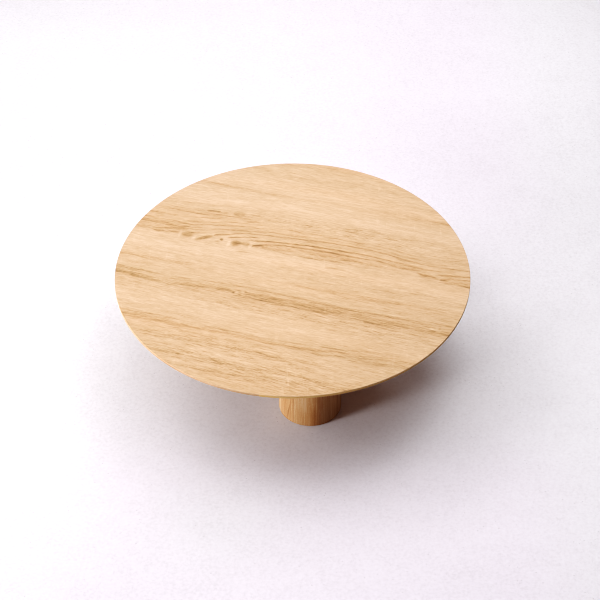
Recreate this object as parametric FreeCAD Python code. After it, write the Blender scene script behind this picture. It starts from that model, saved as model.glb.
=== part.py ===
import FreeCAD, Part
import math
import os

# Round low table with three fat drum legs that fold flat under the top.
# Millimetres. Origin on the floor under the centre of the top, +Z up, front is -Y.

# ---- driving dimensions -------------------------------------------------
TOP_R = 450.0          # radius of the top
TABLE_H = 310.0        # floor to top surface
TOP_T = 25.0           # thickness of the top in the middle
EDGE_H = 7.0           # height of the vertical edge of the rim
BEVEL_W = 55.0         # radial width of the undercut bevel
FACE_T = 1.0           # face veneer and balancing veneer
CORE_R = 390.0         # radius of the core board
EDGE_ROUND = 1.4       # arris between the rim and the bevel
SPLINE_W, SPLINE_T = 16.0, 4.0

LEG_COUNT = 3
LEG_PITCH_R = 168.5    # radius of the circle that the leg axes stand on
LEG_R = 80.0           # outer radius of a leg
LEG_1_AZ = -74.6       # direction of leg 1 from the centre, degrees from +X
STAVES = 8
SEAM_AZ = -2.4         # direction of the first stave joint, from the leg's own radial line
BORE_APOTHEM = 58.0    # half the width across flats of the hollow inside a leg
FOOT_GAP = 1.0         # the wood stops this far above the floor
TOP_GAP = 0.15         # leg top to underside
PLUG_T = 30.0
FOOT_PLUG_T = 18.0
FELT_R, FELT_T = 55.0, 3.0
ARRIS = 1.6            # round along the foot of a leg

# hinge, all about one axis that is tangent to the leg at its side
AXIS_T = 87.0          # hinge axis to leg axis
AXIS_DROP = 6.4        # hinge axis below the underside
PLATE_T = 3.0
KNUCKLE_R = 6.0
BOLT_R = 3.0
BORE_R = 3.05
EARS = [(-36.0, -24.0), (-6.0, 6.0), (24.0, 36.0)]
KNUCKLES = [(-23.85, -6.15), (6.15, 23.85)]
BASE_S = 45.0          # half the width of the fixed plate
BASE_T0, BASE_T1 = 28.0, 96.0
ARM_TOP_GAP = 0.4      # arm plate below the underside
ARM_END = -66.0

MAGNET_T = -48.0       # catch, on the far side from the hinge
CUP_R, CUP_H = 12.5, 7.0
BUMPER_T = 300.0       # bumper under the middle of the folded leg's far half
BUMPER_R = 15.0
FOLD_GAP = AXIS_DROP + (AXIS_T - LEG_R)
BUMPER_H = FOLD_GAP - 0.6

UNDER = TABLE_H - TOP_T
AXIS_Z = UNDER - AXIS_DROP
LEG_TOP = UNDER - TOP_GAP
ARM_TOP = UNDER - ARM_TOP_GAP
ARM_BOTTOM = ARM_TOP - PLATE_T

V = FreeCAD.Vector
Z = V(0, 0, 1)
os.makedirs("parts", exist_ok=True)


# ---- helpers ------------------------------------------------------------
def cyl(r, h, x=0.0, y=0.0, z=0.0, d=Z):
    return Part.makeCylinder(r, h, V(x, y, z), d)


def cone(r1, r2, h, x, y, z, d=Z):
    return Part.makeCone(r1, r2, h, V(x, y, z), d)


def prism(points, z0, z1):
    wire = Part.makePolygon([V(x, y, z0) for x, y in points] + [V(points[0][0], points[0][1], z0)])
    return Part.Face(wire).extrude(V(0, 0, z1 - z0))


def rounded(points, radius, z0, z1):
    """A prism of a polygon with its upright corners rounded."""
    solid = prism(points, z0, z1)
    upright = []
    for edge in solid.Edges:
        a, b = edge.Vertexes[0].Point, edge.Vertexes[-1].Point
        if abs(a.x - b.x) < 1e-6 and abs(a.y - b.y) < 1e-6:
            upright.append(edge)
    return solid.makeFillet(radius, upright)


def octagon(apothem, z0, z1, x=LEG_PITCH_R):
    r = apothem / math.cos(math.pi / STAVES)
    points = []
    for k in range(STAVES):
        a = math.radians(SEAM_AZ + 360.0 * k / STAVES)
        points.append((x + r * math.cos(a), r * math.sin(a)))
    return prism(points, z0, z1)


def revolve(profile):
    wire = Part.makePolygon([V(r, 0, z) for r, z in profile] + [V(profile[0][0], 0, profile[0][1])])
    return Part.Face(wire).revolve(V(0, 0, 0), Z, 360)


def wedge(a0, a1, r, z0, z1, x=0.0, y=0.0):
    """A pie slice between two directions, for splitting a ring."""
    n = 4
    points = [(x, y)]
    for k in range(n + 1):
        a = math.radians(a0 + (a1 - a0) * k / n)
        points.append((x + 1.3 * r * math.cos(a), y + 1.3 * r * math.sin(a)))
    return prism(points, z0, z1)


def one(shape):
    """The single solid of a boolean result."""
    if len(shape.Solids) != 1:
        raise ValueError("expected one solid, got %d" % len(shape.Solids))
    return shape.Solids[0]


def screw(x, y, z, length, up, head_r=4.3, shank_r=2.2, head_h=2.2, flat=0.4):
    """A countersunk wood screw with a cross recess. z is the face of its head and up is +1 or -1."""
    d = V(0, 0, up)
    head = Part.makeCylinder(head_r, flat, V(x, y, z), d)
    neck = Part.makeCone(head_r, shank_r, head_h, V(x, y, z + up * flat), d)
    shank = Part.makeCylinder(shank_r, length - flat - head_h - 3.0, V(x, y, z + up * (flat + head_h)), d)
    tip = Part.makeCone(shank_r, 0.4, 3.0, V(x, y, z + up * (length - 3.0)), d)
    solid = head.fuse(neck).fuse(shank).fuse(tip).removeSplitter()
    depth = 1.3
    low = min(z, z + up * depth) - (0.0 if up > 0 else 0.0)
    a = Part.makeBox(4.4, 0.9, depth, V(x - 2.2, y - 0.45, low))
    b = Part.makeBox(0.9, 4.4, depth, V(x - 0.45, y - 2.2, low))
    return one(solid.cut(a.fuse(b)))


def screw_hole(x, y, z, length, up, head_r=4.3, shank_r=2.2, head_h=2.2, flat=0.4, play=0.03):
    d = V(0, 0, up)
    head = Part.makeCylinder(head_r + play, flat, V(x, y, z), d)
    neck = Part.makeCone(head_r + play, shank_r + play, head_h, V(x, y, z + up * flat), d)
    shank = Part.makeCylinder(shank_r + play, length - flat - head_h - 3.0, V(x, y, z + up * (flat + head_h)), d)
    tip = Part.makeCone(shank_r + play, 0.4 + play, 3.0, V(x, y, z + up * (length - 3.0)), d)
    return head.fuse(neck).fuse(shank).fuse(tip)


def turned(shape, index):
    """The shape carried from the local frame of a leg to that leg's place."""
    copy = shape.copy()
    copy.rotate(V(0, 0, 0), Z, LEG_1_AZ + 360.0 * index / LEG_COUNT)
    return copy


def save(name, solids):
    if not isinstance(solids, (list, tuple)):
        solids = [solids]
    flat = []
    for s in solids:
        flat.extend(s.Solids)
    for s in flat:
        if not s.isValid() or s.Volume < 0.5:
            raise ValueError("bad solid in " + name)
    shape = flat[0] if len(flat) == 1 else Part.makeCompound(flat)
    shape.exportStep("parts/%s.step" % name)
    print("%-22s %2d solids %10.0f mm3" % (name, len(flat), sum(s.Volume for s in flat)))


# ---- one leg in its own frame: +X outwards from the centre, +Y to the hinge side ----
X = LEG_PITCH_R

BASE_SCREWS = [(X + s, t) for t in (38.0, 66.0) for s in (-33.0, 0.0, 33.0)]
ARM_SCREWS = [(X - 28.0, 40.0), (X + 28.0, 40.0), (X - 28.0, 4.0), (X + 28.0, 4.0), (X, -22.0)]
BASE_SCREW_L = 19.0
ARM_SCREW_L = 24.0
CUP_SCREW_L = 13.0
BUMPER_SCREW_L = 20.0
BUMPER_HEAD_Z = UNDER - BUMPER_H + 6.0

# fixed plate with three ears
base = rounded(
    [(X - BASE_S, BASE_T0), (X + BASE_S, BASE_T0), (X + BASE_S, BASE_T1), (X - BASE_S, BASE_T1)],
    6.0, UNDER, UNDER + PLATE_T,
)
for s0, s1 in EARS:
    ear = Part.makeBox(s1 - s0, 2 * KNUCKLE_R, AXIS_DROP + 1.0, V(X + s0, AXIS_T - KNUCKLE_R, AXIS_Z))
    ear = ear.fuse(cyl(KNUCKLE_R, s1 - s0, X + s0, AXIS_T, AXIS_Z, V(1, 0, 0)))
    base = base.fuse(ear)
base = base.removeSplitter()
base = base.cut(cyl(BORE_R, 90.0, X - 45.0, AXIS_T, AXIS_Z, V(1, 0, 0)))
for x, y in BASE_SCREWS:
    base = base.cut(screw_hole(x, y, UNDER, BASE_SCREW_L, 1))
base = one(base)

# moving arm: a plate let into the top of the leg, curled round the bolt at its edge
arm_outline = [
    (X - 17.0, ARM_END), (X + 17.0, ARM_END), (X + 40.0, -20.0), (X + 40.0, 58.0),
    (X + 23.85, 80.2), (X - 23.85, 80.2), (X - 40.0, 58.0), (X - 40.0, -20.0),
]
arm_plate = rounded(arm_outline, 5.0, ARM_BOTTOM, ARM_TOP)
arm = arm_plate
for s0, s1 in KNUCKLES:
    arm = arm.fuse(Part.makeBox(s1 - s0, AXIS_T - 74.0, PLATE_T, V(X + s0, 74.0, ARM_BOTTOM)))
    arm = arm.fuse(cyl(KNUCKLE_R, s1 - s0, X + s0, AXIS_T, AXIS_Z, V(1, 0, 0)))
arm = arm.removeSplitter()
arm = arm.cut(cyl(BORE_R, 90.0, X - 45.0, AXIS_T, AXIS_Z, V(1, 0, 0)))
for s0, s1 in EARS:
    arm = arm.cut(cyl(KNUCKLE_R + 0.6, s1 - s0 + 0.3, X + s0 - 0.15, AXIS_T, AXIS_Z, V(1, 0, 0)))
for x, y in ARM_SCREWS:
    arm = arm.cut(screw_hole(x, y, ARM_TOP, ARM_SCREW_L, -1))
arm = one(arm)

# the clamping bolt, its disc springs and nut
BOLT_S0 = EARS[0][0]
SPRING_S = EARS[-1][1]
HEAD_H = 4.0
SPRING_STACK = 3.2
NUT_H = 6.0
head = cyl(5.4, HEAD_H, X + BOLT_S0 - HEAD_H, AXIS_T, AXIS_Z, V(1, 0, 0))
head = head.makeFillet(1.2, [e for e in head.Edges if abs(e.BoundBox.XMin - (X + BOLT_S0 - HEAD_H)) < 1e-6 and e.BoundBox.XLength < 1e-6])
socket = Part.makePolygon([
    V(X + BOLT_S0 - HEAD_H - 0.1, AXIS_T + 2.3 * math.cos(math.radians(60 * k)), AXIS_Z + 2.3 * math.sin(math.radians(60 * k)))
    for k in range(7)
])
socket = Part.Face(socket).extrude(V(2.3, 0, 0))
bolt = head.fuse(cyl(BOLT_R, SPRING_S - BOLT_S0 + SPRING_STACK + NUT_H + 1.5, X + BOLT_S0, AXIS_T, AXIS_Z, V(1, 0, 0)))
bolt = one(bolt.removeSplitter().cut(socket))

springs = []
half = SPRING_STACK / 2
for x0, d in ((X + SPRING_S, 1), (X + SPRING_S + SPRING_STACK, -1)):
    outer = cone(3.9, 5.6, half, x0, AXIS_T, AXIS_Z, V(d, 0, 0))
    inner = cone(3.1, 4.6, half, x0, AXIS_T, AXIS_Z, V(d, 0, 0))
    springs.append(one(outer.cut(inner).cut(cyl(3.1, 2 * half, x0 - half, AXIS_T, AXIS_Z, V(1, 0, 0)))))

nut_x = X + SPRING_S + SPRING_STACK
nut = Part.makePolygon([
    V(nut_x, AXIS_T + 5.6 * math.cos(math.radians(60 * k + 30)), AXIS_Z + 5.6 * math.sin(math.radians(60 * k + 30)))
    for k in range(7)
])
nut = Part.Face(nut).extrude(V(4.4, 0, 0)).fuse(cyl(4.6, NUT_H, nut_x, AXIS_T, AXIS_Z, V(1, 0, 0))).removeSplitter()
nut = one(nut.cut(cyl(BOLT_R + 0.02, NUT_H + 2, nut_x - 1, AXIS_T, AXIS_Z, V(1, 0, 0))))

# magnetic catch in a steel cup, let into the underside
cup = cyl(CUP_R, CUP_H, X, MAGNET_T, UNDER).cut(cyl(CUP_R - 2.5, CUP_H - 2.0, X, MAGNET_T, UNDER))
cup = one(cup.cut(screw_hole(X, MAGNET_T, UNDER + CUP_H - 2.0, CUP_SCREW_L, 1, head_r=4.0, shank_r=2.0, head_h=1.4, flat=0.3)))
magnet = one(cyl(CUP_R - 2.55, CUP_H - 2.05, X, MAGNET_T, UNDER + 0.05).cut(cyl(4.6, CUP_H, X, MAGNET_T, UNDER)))
cup_screw = screw(X, MAGNET_T, UNDER + CUP_H - 2.0, CUP_SCREW_L, 1, head_r=4.0, shank_r=2.0, head_h=1.4, flat=0.3)

# rubber bumper that the folded leg lies against
bumper = cone(BUMPER_R - 1.5, BUMPER_R, BUMPER_H, X, BUMPER_T, UNDER - BUMPER_H)
bumper = bumper.makeFillet(1.2, [e for e in bumper.Edges if abs(e.BoundBox.ZMax - (UNDER - BUMPER_H)) < 1e-6])
bumper = bumper.cut(cyl(5.2, BUMPER_HEAD_Z - (UNDER - BUMPER_H), X, BUMPER_T, UNDER - BUMPER_H))
bumper = one(bumper.cut(screw_hole(X, BUMPER_T, BUMPER_HEAD_Z, BUMPER_SCREW_L, 1)))

base_screws = [screw(x, y, UNDER, BASE_SCREW_L, 1) for x, y in BASE_SCREWS]
arm_screws = [screw(x, y, ARM_TOP, ARM_SCREW_L, -1) for x, y in ARM_SCREWS]
bumper_screw = screw(X, BUMPER_T, BUMPER_HEAD_Z, BUMPER_SCREW_L, 1)

# what the hinge hardware needs cut out of the wood of the leg
leg_pocket = prism([(X + (x - X) * 1.008, y * 1.003) for x, y in arm_outline], ARM_BOTTOM, UNDER + 1.0)
leg_pocket = leg_pocket.fuse(Part.makeBox(49.0, 20.0, 20.0, V(X - 24.5, 74.0, ARM_BOTTOM)))
knuckle_relief = cyl(KNUCKLE_R + 0.4, 49.0, X - 24.5, AXIS_T, AXIS_Z, V(1, 0, 0))

# coopered drum: eight staves, flat inside and turned round outside
drum = cyl(LEG_R, LEG_TOP - FOOT_GAP, X, 0, FOOT_GAP)
rims = [e for e in drum.Edges if e.Curve.TypeId == "Part::GeomCircle"]
drum = drum.makeFillet(ARRIS, [e for e in rims if e.BoundBox.ZMax < 10.0])
drum = drum.makeFillet(0.8, [e for e in drum.Edges if e.Curve.TypeId == "Part::GeomCircle" and e.BoundBox.ZMin > LEG_TOP - 0.01])
drum = drum.cut(octagon(BORE_APOTHEM, 0.0, UNDER + 1.0))
drum = drum.cut(leg_pocket).cut(knuckle_relief)
staves = []
for k in range(STAVES):
    a0 = SEAM_AZ + 360.0 * k / STAVES
    a1 = SEAM_AZ + 360.0 * (k + 1) / STAVES
    staves.append(one(drum.common(wedge(a0, a1, LEG_R, -5.0, UNDER + 5.0, X))))

top_plug = octagon(BORE_APOTHEM, LEG_TOP - PLUG_T, LEG_TOP).cut(leg_pocket)
for x, y in ARM_SCREWS:
    top_plug = top_plug.cut(screw_hole(x, y, ARM_TOP, ARM_SCREW_L, -1))
top_plug = one(top_plug)

foot_plug = one(octagon(BORE_APOTHEM, FOOT_GAP, FOOT_GAP + FOOT_PLUG_T).cut(cyl(FELT_R + 0.1, FELT_T - FOOT_GAP, X, 0, FOOT_GAP)))
felt = cyl(FELT_R, FELT_T, X, 0, 0)
felt = one(felt.makeFillet(0.8, [e for e in felt.Edges if e.Curve.TypeId == "Part::GeomCircle" and e.BoundBox.ZMax < 0.01]))

# ---- the top ------------------------------------------------------------
base_pocket = rounded(
    [(X - BASE_S - 0.2, BASE_T0 - 0.2), (X + BASE_S + 0.2, BASE_T0 - 0.2), (X + BASE_S + 0.2, BASE_T1 + 0.2), (X - BASE_S - 0.2, BASE_T1 + 0.2)],
    6.0, UNDER - 1.0, UNDER + PLATE_T,
)
cutters = [base_pocket, cyl(CUP_R + 0.1, CUP_H + 1.0, X, MAGNET_T, UNDER - 1.0)]
for x, y in BASE_SCREWS:
    cutters.append(screw_hole(x, y, UNDER, BASE_SCREW_L, 1))
cutters.append(screw_hole(X, MAGNET_T, UNDER + CUP_H - 2.0, CUP_SCREW_L, 1, head_r=4.0, shank_r=2.0, head_h=1.4, flat=0.3))
cutters.append(cyl(2.23, BUMPER_SCREW_L - (UNDER - BUMPER_HEAD_Z), X, BUMPER_T, UNDER))

core = cyl(CORE_R, TOP_T - 2 * FACE_T, 0, 0, UNDER + FACE_T)
balance = cyl(CORE_R, FACE_T, 0, 0, UNDER)
for i in range(LEG_COUNT):
    for c in cutters:
        placed = turned(c, i)
        core = core.cut(placed)
        balance = balance.cut(placed)
spline_z = UNDER + TOP_T / 2 - SPLINE_T / 2 + 2.0
spline_ring = cyl(CORE_R + SPLINE_W / 2, SPLINE_T, 0, 0, spline_z).cut(cyl(CORE_R - SPLINE_W / 2, SPLINE_T, 0, 0, spline_z))
core = one(core.cut(spline_ring))
balance = one(balance)

face = cyl(TOP_R, FACE_T, 0, 0, TABLE_H - FACE_T)
face = one(face.makeFillet(0.5, [e for e in face.Edges if e.Curve.TypeId == "Part::GeomCircle" and e.BoundBox.ZMin > TABLE_H - 0.01]))

ring = revolve([
    (CORE_R, UNDER), (TOP_R - BEVEL_W, UNDER), (TOP_R, TABLE_H - EDGE_H),
    (TOP_R, TABLE_H - FACE_T), (CORE_R, TABLE_H - FACE_T),
])
arris = [e for e in ring.Edges if e.Curve.TypeId == "Part::GeomCircle"
         and abs(e.Curve.Radius - TOP_R) < 0.01 and abs(e.BoundBox.ZMax - (TABLE_H - EDGE_H)) < 0.01]
ring = ring.makeFillet(EDGE_ROUND, arris)
ring = ring.cut(spline_ring)
lipping, splines = [], []
for k in range(6):
    w = wedge(20.0 + 60.0 * k, 80.0 + 60.0 * k, TOP_R, UNDER - 10.0, TABLE_H + 10.0)
    lipping.append(one(ring.common(w)))
    splines.append(one(spline_ring.common(w)))

# ---- write every node ---------------------------------------------------
save("top_face_veneer", face)
save("top_core", core)
save("top_balance_veneer", balance)
save("edge_lipping", lipping)
save("lipping_spline", splines)

for i in range(LEG_COUNT):
    n = "leg_%d_" % (i + 1)
    save(n + "staves", [turned(s, i) for s in staves])
    save(n + "top_plug", turned(top_plug, i))
    save(n + "foot_plug", turned(foot_plug, i))
    save(n + "felt_glide", turned(felt, i))
    save(n + "hinge_arm", turned(arm, i))
    save(n + "arm_screws", [turned(s, i) for s in arm_screws])
    save(n + "hinge_base", turned(base, i))
    save(n + "base_screws", [turned(s, i) for s in base_screws])
    save(n + "hinge_bolt", turned(bolt, i))
    save(n + "disc_springs", [turned(s, i) for s in springs])
    save(n + "hinge_nut", turned(nut, i))
    save(n + "catch_cup", turned(cup, i))
    save(n + "catch_magnet", turned(magnet, i))
    save(n + "catch_screw", turned(cup_screw, i))
    save(n + "fold_bumper", turned(bumper, i))
    save(n + "bumper_screw", turned(bumper_screw, i))

for i in range(LEG_COUNT):
    a = math.radians(LEG_1_AZ + 360.0 * i / LEG_COUNT)
    px = X * math.cos(a) - AXIS_T * math.sin(a)
    py = X * math.sin(a) + AXIS_T * math.cos(a)
    print("leg %d centre %.3f %.3f hinge point %.4f %.4f %.4f axis %.6f %.6f 0" % (
        i + 1, X * math.cos(a), X * math.sin(a), px, py, AXIS_Z, math.cos(a), math.sin(a)))
print("folded leg reaches radius %.1f" % math.hypot(LEG_PITCH_R + LEG_R, AXIS_T + AXIS_Z - FOOT_GAP))
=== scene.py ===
import math
import bpy
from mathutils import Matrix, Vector

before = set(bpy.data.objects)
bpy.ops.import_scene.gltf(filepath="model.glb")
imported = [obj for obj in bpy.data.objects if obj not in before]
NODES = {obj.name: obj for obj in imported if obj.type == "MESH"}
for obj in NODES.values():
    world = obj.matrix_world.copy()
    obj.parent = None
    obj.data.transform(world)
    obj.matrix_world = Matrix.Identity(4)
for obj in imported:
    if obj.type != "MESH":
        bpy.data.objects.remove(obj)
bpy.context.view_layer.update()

TOP_Z = 0.310
UNDER_Z = 0.285
LEG_PITCH = 0.1685
LEG_R = 0.080
LEG_AZ = [-74.6, 45.4, 165.4]
SEAM_AZ = -2.4


# ---------------------------------------------------------------- node maths
class Net:
    """A small helper that writes shader maths as plain calls."""

    def __init__(self, name):
        self.mat = bpy.data.materials.new(name)
        self.mat.use_nodes = True
        self.tree = self.mat.node_tree
        self.tree.nodes.clear()
        self.out = self.tree.nodes.new("ShaderNodeOutputMaterial")
        self.bsdf = self.tree.nodes.new("ShaderNodeBsdfPrincipled")
        self.tree.links.new(self.bsdf.outputs["BSDF"], self.out.inputs["Surface"])

    def link(self, value, socket):
        if isinstance(value, bpy.types.NodeSocket):
            self.tree.links.new(value, socket)
        else:
            socket.default_value = value

    def m(self, op, a, b=None, c=None, clamp=False):
        n = self.tree.nodes.new("ShaderNodeMath")
        n.operation = op
        n.use_clamp = clamp
        self.link(a, n.inputs[0])
        if b is not None:
            self.link(b, n.inputs[1])
        if c is not None:
            self.link(c, n.inputs[2])
        return n.outputs[0]

    def add(self, a, b): return self.m("ADD", a, b)
    def sub(self, a, b): return self.m("SUBTRACT", a, b)
    def mul(self, a, b): return self.m("MULTIPLY", a, b)
    def div(self, a, b): return self.m("DIVIDE", a, b)
    def mad(self, a, b, c): return self.m("MULTIPLY_ADD", a, b, c)
    def clamp(self, a): return self.m("ADD", a, 0.0, clamp=True)

    def total(self, terms):
        out = terms[0]
        for t in terms[1:]:
            out = self.add(out, t)
        return out

    def gauss(self, x, width):
        """exp(-(x / width)^2)"""
        q = self.div(x, width)
        return self.m("EXPONENT", self.mul(self.mul(q, q), -1.0))

    def step(self, x, lo, hi, to_lo=0.0, to_hi=1.0):
        n = self.tree.nodes.new("ShaderNodeMapRange")
        n.interpolation_type = "SMOOTHSTEP"
        n.clamp = True
        self.link(x, n.inputs["Value"])
        self.link(lo, n.inputs["From Min"])
        self.link(hi, n.inputs["From Max"])
        self.link(to_lo, n.inputs["To Min"])
        self.link(to_hi, n.inputs["To Max"])
        return n.outputs["Result"]

    def curve(self, x, points, lo, hi, out_lo, out_hi, line=False):
        """A smooth curve through points (x, y), read between lo and hi. A line goes on past its ends."""
        n = self.tree.nodes.new("ShaderNodeFloatCurve")
        c = n.mapping.curves[0]
        pts = [((px - lo) / (hi - lo), (py - out_lo) / (out_hi - out_lo)) for px, py in points]
        while len(c.points) < len(pts):
            c.points.new(0.5, 0.5)
        for p, xy in zip(c.points, pts):
            p.location = xy
            p.handle_type = "AUTO"
        n.mapping.extend = "EXTRAPOLATED" if line else "HORIZONTAL"
        n.mapping.update()
        t = x if (lo, hi) == (0.0, 1.0) else self.m("DIVIDE", self.sub(x, lo), hi - lo, clamp=True)
        self.link(t, n.inputs["Value"])
        return self.mad(n.outputs["Value"], out_hi - out_lo, out_lo)

    def vec(self, x, y, z=0.0):
        n = self.tree.nodes.new("ShaderNodeCombineXYZ")
        self.link(x, n.inputs[0])
        self.link(y, n.inputs[1])
        self.link(z, n.inputs[2])
        return n.outputs[0]

    def split(self, v):
        n = self.tree.nodes.new("ShaderNodeSeparateXYZ")
        self.link(v, n.inputs[0])
        return n.outputs[0], n.outputs[1], n.outputs[2]

    def coords(self):
        n = self.tree.nodes.new("ShaderNodeTexCoord")
        return self.split(n.outputs["Object"])

    def normal(self):
        n = self.tree.nodes.new("ShaderNodeTexCoord")
        return self.split(n.outputs["Normal"])

    def noise(self, v, scale=1.0, detail=2.0, rough=0.5, distortion=0.0):
        n = self.tree.nodes.new("ShaderNodeTexNoise")
        n.noise_dimensions = "3D"
        self.link(v, n.inputs["Vector"])
        n.inputs["Scale"].default_value = scale
        n.inputs["Detail"].default_value = detail
        n.inputs["Roughness"].default_value = rough
        n.inputs["Distortion"].default_value = distortion
        return n.outputs["Fac"]

    def random(self, v):
        n = self.tree.nodes.new("ShaderNodeTexWhiteNoise")
        n.noise_dimensions = "3D"
        self.link(v, n.inputs["Vector"])
        return n.outputs["Value"]

    def voronoi(self, v, scale=1.0, feature="F1", rand=1.0):
        n = self.tree.nodes.new("ShaderNodeTexVoronoi")
        n.feature = feature
        self.link(v, n.inputs["Vector"])
        n.inputs["Scale"].default_value = scale
        n.inputs["Randomness"].default_value = rand
        return n.outputs["Distance"]

    def ramp(self, fac, stops):
        n = self.tree.nodes.new("ShaderNodeValToRGB")
        r = n.color_ramp
        r.interpolation = "B_SPLINE" if False else "LINEAR"
        while len(r.elements) < len(stops):
            r.elements.new(0.5)
        for e, (p, c) in zip(r.elements, stops):
            e.position = p
            e.color = (*c, 1.0)
        self.link(fac, n.inputs[0])
        return n.outputs["Color"]

    def mix(self, fac, a, b, mode="MIX"):
        n = self.tree.nodes.new("ShaderNodeMix")
        n.data_type = "RGBA"
        n.blend_type = mode
        n.clamp_factor = True
        self.link(fac, n.inputs["Factor"])
        for value, socket in ((a, n.inputs["A"]), (b, n.inputs["B"])):
            pass
        socks = [s for s in n.inputs if s.type == "RGBA"]
        for value, socket in zip((a, b), socks):
            if isinstance(value, bpy.types.NodeSocket):
                self.tree.links.new(value, socket)
            else:
                socket.default_value = (*value, 1.0)
        return [s for s in n.outputs if s.type == "RGBA"][0]

    def shade(self, color, k):
        """color times a grey value k"""
        n = self.tree.nodes.new("ShaderNodeVectorMath")
        n.operation = "SCALE"
        self.link(color, n.inputs[0])
        self.link(k, n.inputs["Scale"])
        return n.outputs[0]

    def bump(self, height, strength=0.3, distance=0.001):
        n = self.tree.nodes.new("ShaderNodeBump")
        n.inputs["Strength"].default_value = strength
        n.inputs["Distance"].default_value = distance
        self.link(height, n.inputs["Height"])
        return n.outputs["Normal"]

    def group(self, name, inputs, build, count):
        """A node group of its own, which keeps the big tree small. build(net, sockets) returns count values."""
        sub = Net.__new__(Net)
        sub.tree = bpy.data.node_groups.new(name, "ShaderNodeTree")
        for i in range(len(inputs)):
            sub.tree.interface.new_socket("in%d" % i, in_out="INPUT", socket_type="NodeSocketFloat")
        for i in range(count):
            sub.tree.interface.new_socket("out%d" % i, in_out="OUTPUT", socket_type="NodeSocketFloat")
        gi = sub.tree.nodes.new("NodeGroupInput")
        go = sub.tree.nodes.new("NodeGroupOutput")
        for i, value in enumerate(build(sub, [gi.outputs[i] for i in range(len(inputs))])):
            sub.link(value, go.inputs[i])
        n = self.tree.nodes.new("ShaderNodeGroup")
        n.node_tree = sub.tree
        for i, value in enumerate(inputs):
            self.link(value, n.inputs[i])
        return [n.outputs[i] for i in range(count)]

    def finish(self, color=None, rough=None, normal=None, metallic=0.0, **fixed):
        b = self.bsdf
        if color is not None:
            if isinstance(color, bpy.types.NodeSocket):
                self.tree.links.new(color, b.inputs["Base Color"])
            else:
                b.inputs["Base Color"].default_value = (*color, 1.0)
        if rough is not None:
            self.link(rough, b.inputs["Roughness"])
        if normal is not None:
            self.link(normal, b.inputs["Normal"])
        b.inputs["Metallic"].default_value = metallic
        for name, value in fixed.items():
            b.inputs[name.replace("_", " ")].default_value = value
        return self.mat


WOOD_K = 0.70      # how much of the light the lightest finish sends back
FLOOR_K = 0.66


def lin(r, g, b, k=WOOD_K):
    """sRGB 0-255 to linear, times a common factor"""
    def f(c):
        c = c / 255.0
        return c / 12.92 if c <= 0.04045 else ((c + 0.055) / 1.055) ** 2.4
    return (k * f(r), k * f(g), k * f(b))


# ---------------------------------------------------------------- oak of the top
GRAIN = math.radians(-16.0)      # the grain runs from back left to front right
TOP_K = 0.478

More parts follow.
